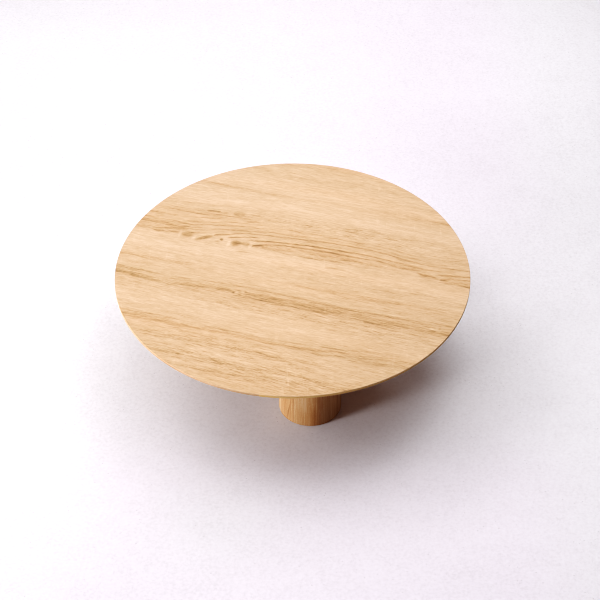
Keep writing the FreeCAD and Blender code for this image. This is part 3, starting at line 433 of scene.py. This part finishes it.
    # reddish drift in some bands and lines, greyer in others
    hue = g.noise(g.vec(g.mul(u, 1.4), g.mul(vw, 14.0), 21.0), 1.0, 1.0)
    red = g.clamp(g.add(g.step(hue, 0.45, 0.75, 0.0, 0.45), g.mul(warm, 0.9)))
    col = g.mix(red, col, g.mix(1.0, col, (1.01, 0.965, 0.905), "MULTIPLY"))
    col = g.mix(g.step(hue, 0.45, 0.25, 0.0, 0.5), col, g.mix(1.0, col, (0.985, 1.0, 1.0), "MULTIPLY"))
    # a cooler tint on the left part of the top: painted light from the left
    col = g.mix(g.step(u, 0.10, -0.40), col, g.mix(1.0, col, (0.972, 0.998, 1.045), "MULTIPLY"))
    height = g.total([g.mul(t3, 0.35), g.mul(t4, 0.25), g.mul(pores, -0.9), g.mul(dashes, -0.5)])
    rough = g.mad(g.sub(t3, 0.5), 0.12, g.mad(pores, 0.10, 0.50))
    return g.finish(col, rough, g.bump(height, 0.22, 0.0004), Specular_IOR_Level=0.36)


# ---------------------------------------------------------------- the solid oak
# a paler oak for the rim's arcs on the lit side: painted light
PAINTED_LIGHT_OAK = [
    (0.00, lin(226, 202, 180, 0.66)),
    (0.25, lin(214, 185, 158, 0.66)),
    (0.50, lin(194, 160, 124, 0.66)),
    (1.00, lin(146, 108, 72, 0.66)),
]
SOLID_OAK = [
    (0.00, lin(203, 174, 140, 0.66)),
    (0.25, lin(190, 149, 106, 0.66)),
    (0.50, lin(172, 124, 80, 0.66)),
    (0.75, lin(152, 102, 62, 0.66)),
    (1.00, lin(126, 82, 48, 0.66)),
]


def oak_leg(name, az, stave_tones_and_shade=None):
    g = Net(name)
    x, y, z = g.coords()
    a = math.radians(az)
    cx, cy = LEG_PITCH * math.cos(a), LEG_PITCH * math.sin(a)
    px, py = g.sub(x, cx), g.sub(y, cy)
    ang = g.m("ARCTAN2", py, px)
    ang = g.sub(ang, a + math.radians(SEAM_AZ))
    turn = g.div(ang, 2 * math.pi)
    turn = g.m("FRACT", g.add(turn, 2.0))
    cell = g.mul(turn, 8.0)
    k = g.m("FLOOR", cell)
    f = g.m("FRACT", cell)
    rnd = g.random(g.vec(k, az * 0.01, 0.5))
    # on the front leg the staves get set tones, partly painted light and shade
    if stave_tones_and_shade:
        rnd = 0.5
        for i, tone in enumerate(stave_tones_and_shade):
            rnd = g.add(rnd, g.mul(g.m("COMPARE", k, float(i), 0.1), tone))
    arc = g.mul(f, 0.0628)
    seed = g.mul(k, 3.7)
    w = g.sub(g.noise(g.vec(g.mul(arc, 20.0), g.mul(z, 4.0), seed), 1.0, 1.0), 0.5)
    aw = g.add(arc, g.mul(w, 0.010))
    t1 = g.noise(g.vec(g.mul(aw, 55.0), g.mul(z, 2.0), seed), 1.0, 2.0)
    t2 = g.noise(g.vec(g.mul(aw, 260.0), g.mul(z, 6.0), seed), 1.0, 3.0, 0.6)
    t3 = g.noise(g.vec(g.mul(aw, 1100.0), g.mul(z, 24.0), seed), 1.0, 2.0, 0.6)
    pore = g.step(g.noise(g.vec(g.mul(aw, 2200.0), g.mul(z, 120.0), seed), 1.0, 1.0), 0.58, 0.70)
    edge = g.m("MINIMUM", f, g.sub(1.0, f))
    seam = g.step(edge, 0.010, 0.0, 0.0, 1.0)
    marks_and_painted_light = 0.0
    if stave_tones_and_shade:
        # a dark late-wood line beside one seam, and a short wandering one low on the lit side
        wob = g.mul(g.sub(g.noise(g.vec(0.0, 0.0, g.mul(z, 60.0)), 1.0, 1.0), 0.5), 0.05)
        marks_and_painted_light = g.mul(g.gauss(g.sub(g.add(cell, wob), 1.035), 0.028), 0.42)
        low = g.add(6.73, g.mul(g.sub(z, 0.030), 2.8))
        short = g.mul(g.gauss(g.sub(g.add(cell, g.mul(wob, 0.6)), low), 0.030), g.gauss(g.sub(z, 0.036), 0.024))
        marks_and_painted_light = g.add(marks_and_painted_light, g.mul(short, 0.42))
        # a darker run of grain across the seam in the middle of the view, partly painted shade where the leg turns
        # from the light, and a pale edge on the lit side, a painted highlight
        for centre, width, amount in ((-0.05, 0.17, 0.28), (6.52, 0.13, 0.14), (6.05, 0.16, -0.22)):
            marks_and_painted_light = g.add(marks_and_painted_light, g.mul(g.gauss(g.sub(cell, centre), width), amount))
        # on the near side of that seam the run is dark near the foot only, painted shade near the floor, with paler
        # wood above it, painted light
        up = g.step(z, 0.030, 0.080)
        marks_and_painted_light = g.add(marks_and_painted_light, g.mul(g.mul(g.gauss(g.sub(cell, 7.95), 0.17), 0.28), g.sub(1.0, up)))
        marks_and_painted_light = g.add(marks_and_painted_light, g.mul(g.mul(g.gauss(g.sub(cell, 7.45), 0.26), -0.24), up))
    ray = g.step(g.noise(g.vec(g.mul(aw, 520.0), g.mul(z, 170.0), g.add(seed, 9.0)), 1.0, 1.0, 0.5), 0.60, 0.72)
    d = g.total([0.28, g.mul(ray, -0.13), g.mul(g.sub(rnd, 0.5), 0.50), g.mul(g.sub(t1, 0.5), 0.48), g.mul(g.sub(t2, 0.5), 0.76), g.mul(g.sub(t3, 0.5), 0.62), g.mul(pore, 0.14), g.mul(seam, 0.30), marks_and_painted_light])
    # the sawn ends show rings, pores and rays instead
    nx, ny, nz = g.normal()
    end = g.step(g.m("ABSOLUTE", nz), 0.55, 0.75)
    rr = g.m("SQRT", g.mad(px, px, g.mul(py, py)))
    mid = g.sub(arc, 0.0314)
    tilt = g.sub(g.random(g.vec(k, 4.2, az * 0.01)), 0.5)
    ring = g.total([rr, g.mul(g.mul(mid, tilt), 1.3), g.mul(g.mul(mid, mid), 7.0), g.mul(w, 0.004)])
    rings = g.noise(g.vec(g.mul(ring, 430.0), 0.0, seed), 1.0, 1.0, 0.5)
    dots = g.step(g.voronoi(g.vec(g.mul(px, 1300.0), g.mul(py, 1300.0), seed), 1.0), 0.34, 0.16)
    rays = g.noise(g.vec(g.mul(arc, 900.0), g.mul(rr, 26.0), seed), 1.0, 1.0, 0.5)
    ends = g.total([0.44, g.mul(g.sub(rnd, 0.5), 0.35), g.mul(g.sub(rings, 0.5), 0.80), g.mul(dots, 0.26), g.mul(g.sub(rays, 0.5), 0.30), g.mul(seam, 0.30)])
    d = g.add(d, g.mul(g.sub(ends, d), end))
    col = g.ramp(g.clamp(d), SOLID_OAK)
    if stave_tones_and_shade:
        # redder on one side of the middle seam, and deeper just past it: painted warm shade where the leg turns from
        # the light
        for centre, width, tint in ((7.70, 0.33, (1.02, 0.91, 0.79)), (0.15, 0.10, (0.88, 0.83, 0.86))):
            col = g.mix(g.gauss(g.sub(cell, centre), width), col, g.mix(1.0, col, tint, "MULTIPLY"))
    height = g.total([g.mul(t2, 0.3), g.mul(t3, 0.3), g.mul(pore, -0.8), g.mul(seam, -0.6)])
    height = g.add(height, g.mul(g.sub(g.mul(dots, -0.9), height), end))
    return g.finish(col, g.mad(g.sub(t2, 0.5), 0.12, 0.56), g.bump(height, 0.25, 0.0004), Specular_IOR_Level=0.16)


def oak_straight(name, grain_deg, tone=0.0, radial=False):
    """Solid or veneer oak with its grain along one direction, or round the rim."""
    g = Net(name)
    x, y, z = g.coords()
    if radial:
        r = g.m("SQRT", g.add(g.mul(x, x), g.mul(y, y)))
        ang = g.m("ARCTAN2", y, x)
        turn = g.m("FRACT", g.add(g.div(g.sub(ang, math.radians(20.0)), 2 * math.pi), 2.0))
        k = g.m("FLOOR", g.mul(turn, 6.0))
        # each arc is sawn from a straight board, so its grain runs along the arc's chord
        mid = g.mul(g.add(g.mul(k, 60.0), 50.0), math.pi / 180.0)
        cm, sm = g.m("COSINE", mid), g.m("SINE", mid)
        v = g.add(g.mul(x, cm), g.mul(y, sm))
        u = g.sub(g.mul(y, cm), g.mul(x, sm))
        v = g.add(v, g.mul(z, 0.6))
        seed = g.mul(k, 5.3)
    else:
        c, s = math.cos(math.radians(grain_deg)), math.sin(math.radians(grain_deg))
        u = g.add(g.mul(x, c), g.mul(y, s))
        v = g.add(g.mul(x, -s), g.mul(y, c))
        v = g.add(v, g.mul(z, 0.5))
        seed = 4.4
    w = g.sub(g.noise(g.vec(g.mul(u, 3.0), g.mul(v, 9.0), seed), 1.0, 1.0), 0.5)
    vw = g.add(v, g.mul(w, 0.02))
    t1 = g.noise(g.vec(g.mul(u, 1.5), g.mul(vw, 28.0), seed), 1.0, 2.0)
    t2 = g.noise(g.vec(g.mul(u, 5.0), g.mul(vw, 150.0), seed), 1.0, 3.0, 0.6)
    t3 = g.noise(g.vec(g.mul(u, 20.0), g.mul(vw, 700.0), seed), 1.0, 2.0, 0.6)
    pore = g.step(g.noise(g.vec(g.mul(u, 110.0), g.mul(vw, 1900.0), seed), 1.0, 1.0), 0.58, 0.70)
    d = g.clamp(g.total([0.30 + tone, g.mul(g.sub(t1, 0.5), 0.45), g.mul(g.sub(t2, 0.5), 0.40), g.mul(g.sub(t3, 0.5), 0.22), g.mul(pore, 0.12)]))
    if not radial:
        col = g.ramp(d, SOLID_OAK)
    else:
        # the front and right arcs a little paler: painted light on the shaded arcs
        d = g.clamp(g.sub(d, g.total([g.mul(g.m("COMPARE", k, 4.0, 0.1), 0.10), g.mul(g.m("COMPARE", k, 5.0, 0.1), 0.08)])))
        # the arcs differ in tone on the rim's edge, and much less on the bevelled underside: paler arcs on the left,
        # where the light comes from, are painted light, and darker arcs at the front and right are painted shade
        outer = g.step(r, 0.440, 0.4475)
        pale = g.total([g.mul(g.m("COMPARE", k, float(i), 0.1), p - 0.5) for i, p in enumerate((0.50, 0.70, 1.0, 0.95, 0.10, 0.10))])
        pale = g.add(g.mul(pale, g.step(r, 0.440, 0.4475, 0.2, 1.0)), 0.5)
        col = g.mix(pale, g.ramp(d, SOLID_OAK), g.ramp(d, PAINTED_LIGHT_OAK))
        # the outer edge of the front and right arcs paler and yellower: painted light
        col = g.mix(g.mul(g.m("COMPARE", k, 4.5, 0.6), outer), col, g.mix(1.0, col, (1.19, 1.28, 1.02), "MULTIPLY"))
        # the front-left arc darker towards its front end: painted shade
        toward = g.mul(g.mul(g.m("COMPARE", k, 3.0, 0.1), g.step(u, -0.17, 0.04)), outer)
        col = g.mix(toward, col, g.mix(1.0, col, (0.86, 0.83, 0.79), "MULTIPLY"))
    height = g.total([g.mul(t2, 0.3), g.mul(t3, 0.3), g.mul(pore, -0.8)])
    return g.finish(col, g.mad(g.sub(t2, 0.5), 0.12, 0.56), g.bump(height, 0.25, 0.0004), Specular_IOR_Level=0.16)


def metal(name, color, rough, brush=(1.0, 1.0, 1.0), amount=0.15, spots=0.0):
    g = Net(name)
    x, y, z = g.coords()
    n1 = g.noise(g.vec(g.mul(x, 300.0 * brush[0]), g.mul(y, 300.0 * brush[1]), g.mul(z, 300.0 * brush[2])), 1.0, 3.0, 0.6)
    n2 = g.noise(g.vec(g.mul(x, 60.0), g.mul(y, 60.0), g.mul(z, 60.0)), 1.0, 2.0, 0.5)
    dark = tuple(c * 0.72 for c in color)
    col = g.mix(g.mad(n1, 0.5, g.mul(n2, 0.5)), dark, color)
    r = g.mad(g.sub(n1, 0.5), amount, rough)
    return g.finish(col, r, g.bump(n1, 0.08, 0.0003), metallic=1.0)


def board(name):
    g = Net(name)
    x, y, z = g.coords()
    n1 = g.noise(g.vec(g.mul(x, 900.0), g.mul(y, 900.0), g.mul(z, 1600.0)), 1.0, 3.0, 0.6)
    n2 = g.noise(g.vec(g.mul(x, 60.0), g.mul(y, 60.0), g.mul(z, 400.0)), 1.0, 2.0, 0.5)
    col = g.ramp(g.mad(n1, 0.6, g.mul(n2, 0.4)), [(0.25, lin(139, 104, 70)), (0.75, lin(179, 144, 104))])
    return g.finish(col, 0.85, g.bump(n1, 0.3, 0.0004), Specular_IOR_Level=0.2)


def plywood(name):
    g = Net(name)
    x, y, z = g.coords()
    ply = g.m("FRACT", g.mul(z, 1.0 / 0.0028))
    layer = g.step(g.m("PINGPONG", g.mul(z, 1.0 / 0.0014), 1.0), 0.4, 0.6)
    n1 = g.noise(g.vec(g.mul(x, 12.0), g.mul(y, 260.0), g.mul(z, 40.0)), 1.0, 3.0, 0.6)
    n2 = g.noise(g.vec(g.mul(x, 90.0), g.mul(y, 1500.0), g.mul(z, 200.0)), 1.0, 2.0, 0.6)
    d = g.total([g.mul(n1, 0.5), g.mul(n2, 0.2), g.mul(layer, 0.12)])
    col = g.ramp(d, [(0.15, lin(226, 200, 160)), (0.45, lin(208, 176, 132)), (0.75, lin(178, 140, 97))])
    return g.finish(col, 0.72, g.bump(n2, 0.2, 0.0003), Specular_IOR_Level=0.3)


def felt(name):
    g = Net(name)
    x, y, z = g.coords()
    n1 = g.noise(g.vec(g.mul(x, 1400.0), g.mul(y, 1400.0), g.mul(z, 1400.0)), 1.0, 4.0, 0.7, 0.8)
    n2 = g.noise(g.vec(g.mul(x, 120.0), g.mul(y, 120.0), g.mul(z, 120.0)), 1.0, 2.0, 0.5)
    col = g.ramp(g.mad(n1, 0.7, g.mul(n2, 0.3)), [(0.25, lin(118, 106, 92)), (0.75, lin(176, 164, 148))])
    return g.finish(col, 0.95, g.bump(n1, 0.6, 0.0008), Specular_IOR_Level=0.15, Sheen_Weight=0.4)


def rubber(name):
    g = Net(name)
    x, y, z = g.coords()
    n1 = g.noise(g.vec(g.mul(x, 700.0), g.mul(y, 700.0), g.mul(z, 700.0)), 1.0, 3.0, 0.6)
    col = g.ramp(n1, [(0.3, lin(34, 33, 32)), (0.7, lin(50, 48, 46))])
    return g.finish(col, g.mad(n1, 0.15, 0.62), g.bump(n1, 0.15, 0.0004), Specular_IOR_Level=0.4)


MAT = {
    "top": oak_top(),
    "lipping": oak_straight("oak_lipping", 0.0, 0.10, radial=True),
    "balance": oak_straight("oak_balance_veneer", -16.0, 0.22),
    "core": board("core_board"),
    "ply": plywood("birch_ply"),
    "felt": felt("wool_felt"),
    "zinc": metal("zinc_plate", (0.58, 0.58, 0.57), 0.38),
    "bright": metal("bright_steel", (0.66, 0.66, 0.66), 0.24),
    "spring": metal("spring_steel", (0.20, 0.20, 0.22), 0.30),
    "nickel": metal("nickel_plate", (0.68, 0.66, 0.62), 0.20),
    "magnet": metal("magnet_face", (0.50, 0.50, 0.50), 0.34),
    "rubber": rubber("black_rubber"),
}
for i in range(3):
    # the front leg's staves: pale ones towards the light, a darker one beside them; these stave tones are partly the
    # staves' own and partly painted light and shade
    stave_tones_and_shade = (0.18, -0.06, -0.2, 0.3, -0.1, 0.2, -0.08, -0.05) if i == 0 else None
    MAT["staves_%d" % (i + 1)] = oak_leg("oak_leg_%d" % (i + 1), LEG_AZ[i], stave_tones_and_shade)

KIND = {
    "top_plug": "ply", "foot_plug": "ply", "felt_glide": "felt", "hinge_arm": "zinc", "hinge_base": "zinc",
    "arm_screws": "bright", "base_screws": "bright", "catch_screw": "bright", "bumper_screw": "bright",
    "hinge_bolt": "bright", "hinge_nut": "bright", "disc_springs": "spring", "catch_cup": "nickel",
    "catch_magnet": "magnet", "fold_bumper": "rubber",
}
for name, o in NODES.items():
    if name == "top_face_veneer":
        m = MAT["top"]
    elif name == "edge_lipping":
        m = MAT["lipping"]
    elif name == "top_balance_veneer":
        m = MAT["balance"]
    elif name == "top_core":
        m = MAT["core"]
    elif name == "lipping_spline":
        m = MAT["ply"]
    elif name.endswith("_staves"):
        m = MAT["staves_" + name.split("_")[1]]
    else:
        m = MAT[KIND[name.split("_", 2)[2]]]
    o.data.materials.clear()
    o.data.materials.append(m)


# ---------------------------------------------------------------- stage, light, camera
def plaster_floor():
    g = Net("pale_floor")
    x, y, z = g.coords()
    n1 = g.noise(g.vec(g.mul(x, 2.0), g.mul(y, 2.0), 0.3), 1.0, 4.0, 0.6)
    n2 = g.noise(g.vec(g.mul(x, 16.0), g.mul(y, 16.0), 1.3), 1.0, 4.0, 0.65)
    n3 = g.noise(g.vec(g.mul(x, 130.0), g.mul(y, 130.0), 2.3), 1.0, 2.0, 0.7)
    # fine dark pits in loose clusters
    patch = g.noise(g.vec(g.mul(x, 9.0), g.mul(y, 9.0), 6.1), 1.0, 2.0, 0.6)
    pits = g.step(g.voronoi(g.vec(g.mul(x, 62.0), g.mul(y, 62.0), 0.7), 1.0), 0.125, 0.06)
    pits = g.mul(pits, g.step(patch, 0.49, 0.61, 0.06, 1.0))
    d = g.total([g.mul(g.sub(n1, 0.5), 0.25), g.mul(g.sub(n2, 0.5), 0.26), g.mul(g.sub(n3, 0.5), 0.85), 0.5, g.mul(pits, -0.75)])
    col = g.ramp(g.clamp(d), [(0.0, lin(212, 207, 212, FLOOR_K)), (0.5, lin(233, 229, 234, FLOOR_K)), (1.0, lin(243, 241, 245, FLOOR_K))])
    # a little paler to the right of the table than to the left or in front: painted light and shade on the floor
    drift = g.curve(x, [(-0.85, 0.84), (-0.40, 0.93), (0.0, 1.0), (0.40, 1.05), (0.85, 1.09)], -0.85, 0.85, 0.5, 1.5)
    drift = g.mul(drift, g.curve(y, [(-1.2, 0.90), (-0.8, 0.94), (-0.4, 0.98), (0.0, 1.0), (0.6, 1.0), (1.2, 1.04)], -1.2, 1.2, 0.5, 1.5))
    # a few broad paler and darker patches: painted light and shade on the floor
    for cx, cy, reach, amount in ((0.46, 0.85, 0.35, -0.060), (0.58, 0.12, 0.15, 0.075), (-0.45, -0.75, 0.32, -0.05), (0.35, 1.25, 0.50, -0.03)):
        a, b = g.div(g.sub(x, cx), reach), g.div(g.sub(y, cy), reach)
        drift = g.mul(drift, g.mad(g.m("EXPONENT", g.mul(g.mad(a, a, g.mul(b, b)), -1.0)), amount, 1.0))
    # and a little pinker well in front of the table and behind it
    pink = g.curve(y, [(-1.2, 0.035), (-0.5, 0.032), (-0.25, 0.010), (0.0, 0.0), (0.4, 0.012), (0.8, 0.035), (1.2, 0.035)], -1.2, 1.2, 0.0, 0.1)
    pink = g.mul(pink, g.step(x, 0.85, 0.50))
    for cx, cy, reach, amount in ((-0.85, 1.50, 0.40, -1.0), (-0.18, -0.56, 0.17, -0.7)):
        a, b = g.div(g.sub(x, cx), reach), g.div(g.sub(y, cy), reach)
        pink = g.mul(pink, g.mad(g.m("EXPONENT", g.mul(g.mad(a, a, g.mul(b, b)), -1.0)), amount, 1.0))
    col = g.mix(1.0, col, g.vec(drift, g.mul(drift, g.sub(1.0, pink)), drift), "MULTIPLY")
    m = g.finish(col, 0.75, g.bump(g.add(g.mul(n2, 0.6), g.mul(n3, 0.4)), 0.15, 0.002), Specular_IOR_Level=0.25)
    # far from the table, past what the lamps reach, the floor goes over into the pale backdrop
    far = g.step(g.m("SQRT", g.add(g.mul(x, x), g.mul(y, y))), 2.05, 3.1)
    path = g.tree.nodes.new("ShaderNodeLightPath")
    glow = g.tree.nodes.new("ShaderNodeEmission")
    glow.inputs["Color"].default_value = BACKDROP
    blend = g.tree.nodes.new("ShaderNodeMixShader")
    out = next(n for n in g.tree.nodes if n.type == "OUTPUT_MATERIAL")
    surface = out.inputs["Surface"].links[0].from_socket
    g.link(g.mul(far, path.outputs["Is Camera Ray"]), blend.inputs[0])
    g.tree.links.new(surface, blend.inputs[1])
    g.tree.links.new(glow.outputs[0], blend.inputs[2])
    g.tree.links.new(blend.outputs[0], out.inputs["Surface"])
    return m


BACKDROP = (0.83, 0.81, 0.835, 1.0)
me = bpy.data.meshes.new("floor")
S = 14.0
me.from_pydata([(-S, -S, 0), (S, -S, 0), (S, S, 0), (-S, S, 0)], [], [(0, 1, 2, 3)])
floor = bpy.data.objects.new("floor", me)
bpy.context.scene.collection.objects.link(floor)
floor.data.materials.append(plaster_floor())

world = bpy.data.worlds.new("studio")
bpy.context.scene.world = world
world.use_nodes = True
wt = world.node_tree
wt.nodes.clear()
wo = wt.nodes.new("ShaderNodeOutputWorld")
wb = wt.nodes.new("ShaderNodeBackground")
wb.inputs["Color"].default_value = (1.0, 1.0, 1.0, 1.0)
wb.inputs["Strength"].default_value = 0.012
# the light comes from the lamps; the view past the floor is a pale backdrop
wd = wt.nodes.new("ShaderNodeBackground")
wd.inputs["Color"].default_value = BACKDROP
wm = wt.nodes.new("ShaderNodeMixShader")
wp = wt.nodes.new("ShaderNodeLightPath")
wt.links.new(wp.outputs["Is Camera Ray"], wm.inputs[0])
wt.links.new(wb.outputs[0], wm.inputs[1])
wt.links.new(wd.outputs[0], wm.inputs[2])
wt.links.new(wm.outputs[0], wo.inputs[0])


def lamp(az, el, size, power, color=(1, 1, 1), reach=3.2):
    """A round soft light. az is the direction it stands in, degrees from +Y towards +X."""
    name = "light_%03d_%02d" % (az, el)
    d = bpy.data.lights.new(name, "AREA")
    d.shape = "DISK"
    d.size = size
    d.energy = power
    d.color = color
    o = bpy.data.objects.new(name, d)
    a, e = math.radians(az), math.radians(el)
    src = Vector((math.sin(a) * math.cos(e), math.cos(a) * math.cos(e), math.sin(e)))
    o.location = src * reach + Vector((0.0, 0.0, 0.1))
    o.rotation_euler = src.to_track_quat("Z", "Y").to_euler()
    o.visible_camera = False
    bpy.context.scene.collection.objects.link(o)
    return o


# low windows on the left, and a broad overhead glow
for az, el, size, power in ((225, 4, 0.6, 6.7), (240, 4, 0.6, 21.9), (255, 8, 0.6, 11.5), (315, 8, 0.6, 3.4), (240, 13, 0.7, 67.0),
                            (270, 13, 0.7, 5.0), (285, 13, 0.7, 20.6), (300, 13, 0.7, 19.0), (0, 20, 1.2, 14.4), (180, 20, 1.2, 6.3),
                            (240, 20, 1.2, 33.8), (255, 20, 1.2, 7.0), (270, 20, 1.2, 8.4), (330, 20, 1.2, 2.8), (285, 36, 1.4, 11.3),
                            (320, 36, 1.4, 12.5), (0, 54, 1.5, 21.9), (45, 54, 1.5, 18.1), (180, 54, 1.5, 2.3), (250, 54, 1.5, 17.7),
                            (285, 54, 1.5, 26.0), (320, 54, 1.5, 4.4), (60, 72, 1.5, 21.4), (120, 72, 1.5, 26.3), (180, 72, 1.5, 15.1),
                            (240, 72, 1.5, 14.1), (300, 72, 1.5, 5.4)):
    lamp(az, el, size, power)

cam = bpy.data.cameras.new("camera")
cam.lens = 120.0
cam.sensor_width = 36.0
cam.sensor_fit = "HORIZONTAL"
cam_o = bpy.data.objects.new("camera", cam)
cam_o.location = (0.0188, -3.8364, 3.6254)
cam_o.rotation_euler = (math.radians(90.0 - 41.63), 0.0, 0.0)
bpy.context.scene.collection.objects.link(cam_o)
bpy.context.scene.camera = cam_o

sc = bpy.context.scene
sc.view_settings.view_transform = "Standard"
sc.view_settings.look = "None"
sc.view_settings.exposure = 0.0
sc.view_settings.gamma = 1.0
# the print's tone: green and blue fall off a little sooner than red in the shade
sc.view_settings.use_curve_mapping = True
tone = sc.view_settings.curve_mapping
for channel, points in ((0, ((0.03, 0.0272), (0.07, 0.0651), (0.12, 0.1144), (0.20, 0.1950), (0.32, 0.3168), (0.50, 0.4988), (0.75, 0.7497))),
                        (1, ((0.03, 0.0161), (0.07, 0.0453), (0.12, 0.0899), (0.20, 0.1710), (0.32, 0.2996), (0.50, 0.4907), (0.75, 0.7475))),
                        (2, ((0.03, 0.0129), (0.07, 0.0397), (0.12, 0.0831), (0.20, 0.1644), (0.32, 0.2950), (0.50, 0.4886), (0.75, 0.7469)))):
    for px, py in points:
        tone.curves[channel].points.new(px, py)
tone.update()
sc.cycles.use_denoising = True
sc.cycles.filter_width = 1.0
